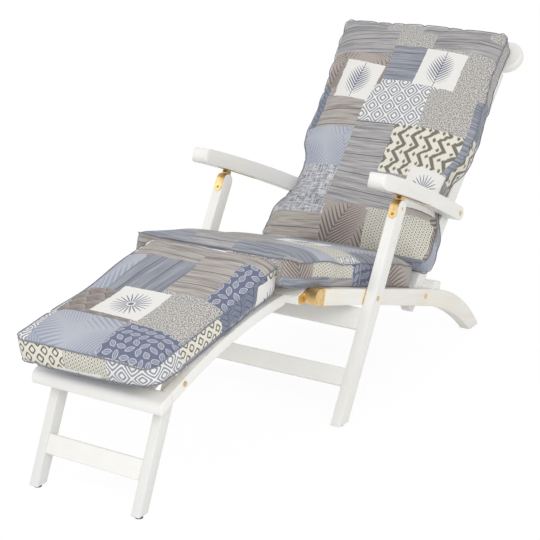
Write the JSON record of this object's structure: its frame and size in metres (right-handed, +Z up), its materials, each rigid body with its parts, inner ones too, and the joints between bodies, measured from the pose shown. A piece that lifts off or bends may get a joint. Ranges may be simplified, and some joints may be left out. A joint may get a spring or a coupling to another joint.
{
  "type": "folding steamer armchair with leg rest",
  "caption": "White folding wooden steamer chair with brass fittings, curved arms, reclining back, hinged leg rest on a folding leg, and three thick cushions.",
  "frame": {"origin": "middle of the floor area under the chair, on the floor", "axes": "+Z up, the sitter faces -Y, X across the chair"},
  "size_m": [0.598, 1.8245, 0.8694],
  "materials": {
    "white_painted_wood": "white stained and painted, satin",
    "brass": "satin",
    "black_rubber": "matt",
    "patchwork_fabric": "woven cotton"
  },
  "bodies": {
    "seat": {"seat_rail_left": "white_painted_wood", "seat_rail_right": "white_painted_wood", "seat_cross_rails": "white_painted_wood", "seat_slats": "white_painted_wood", "rear_cross_board": "white_painted_wood", "rear_foot_pads": "black_rubber", "leg_spacers": "brass", "knuckle_left": "brass", "knuckle_right": "brass", "knuckle_screws": "brass", "knuckle_pins": "brass", "seat_cushion": "patchwork_fabric"},
    "front_legs": {"front_leg_left": "white_painted_wood", "front_leg_right": "white_painted_wood", "upper_stretcher": "white_painted_wood", "lower_stretcher": "white_painted_wood", "leg_bolts": "brass", "leg_top_straps": "brass", "strap_screws": "brass", "leg_top_pins": "brass", "leg_posts": "brass", "front_foot_pads": "black_rubber"},
    "back_pivot": {"back_bolts": "brass", "back_washers": "brass"},
    "back": {"back_stile_left": "white_painted_wood", "back_stile_right": "white_painted_wood", "crest_board": "white_painted_wood", "lower_back_rail": "white_painted_wood", "back_slats": "white_painted_wood", "back_cushion": "patchwork_fabric"},
    "arm_pivot": {"arm_bolts": "brass", "arm_washers": "brass"},
    "arms": {"arm_left": "white_painted_wood", "arm_right": "white_painted_wood", "arm_tracks": "brass", "track_screws": "brass"},
    "leg_rest": {"hinge_board": "white_painted_wood", "hinge_leaves": "brass", "rest_rail_left": "white_painted_wood", "rest_rail_right": "white_painted_wood", "rest_cross_rail": "white_painted_wood", "rest_slats": "white_painted_wood", "foot_board": "white_painted_wood", "leg_cushion": "patchwork_fabric"},
    "folding_leg": {"prop_bolts": "brass", "prop_washers": "brass", "prop_leg_left": "white_painted_wood", "prop_leg_right": "white_painted_wood", "prop_stretcher": "white_painted_wood", "prop_foot_pads": "black_rubber"}
  },
  "joints": [
    {"name": "fold", "type": "hinge", "parent": "seat", "child": "back_pivot", "pos_m": [0, 0.29506, 0.2003], "axis": [1, 0, 0], "range_deg": [0, 60], "deforming": ["seat_cushion"]},
    {"name": "recline", "type": "hinge", "parent": "back_pivot", "child": "back", "pos_m": [0, 0.29506, 0.2003], "axis": [1, 0, 0], "range_deg": [0, 24], "deforming": ["back_cushion"]},
    {"name": "front_legs_fold", "type": "hinge", "parent": "seat", "child": "front_legs", "pos_m": [0, -0.04845, 0.2975], "axis": [1, 0, 0], "range_deg": [0, 60]},
    {"name": "arms_fold", "type": "hinge", "parent": "back", "child": "arm_pivot", "pos_m": [0, 0.48678, 0.39883], "axis": [1, 0, 0], "range_deg": [-72.01, 0]},
    {"name": "arms_recline", "type": "hinge", "parent": "arm_pivot", "child": "arms", "pos_m": [0, 0.48678, 0.39883], "axis": [1, 0, 0], "range_deg": [-20.12, 0]},
    {"name": "leg_rest_lift", "type": "hinge", "parent": "seat", "child": "leg_rest", "pos_m": [0, -0.29762, 0.36671], "axis": [-1, 0, 0], "range_deg": [0, 90], "deforming": ["leg_cushion"]},
    {"name": "folding_leg_swing", "type": "hinge", "parent": "leg_rest", "child": "folding_leg", "pos_m": [0, -0.76467, 0.28418], "axis": [1, 0, 0], "range_deg": [0, 118]}
  ],
  "couplings": [
    {"joint": "front_legs_fold", "follows": "fold", "ratio": 1},
    {"joint": "arms_fold", "follows": "fold", "ratio": -1.2},
    {"joint": "arms_recline", "follows": "recline", "ratio": -0.838}
  ]
}
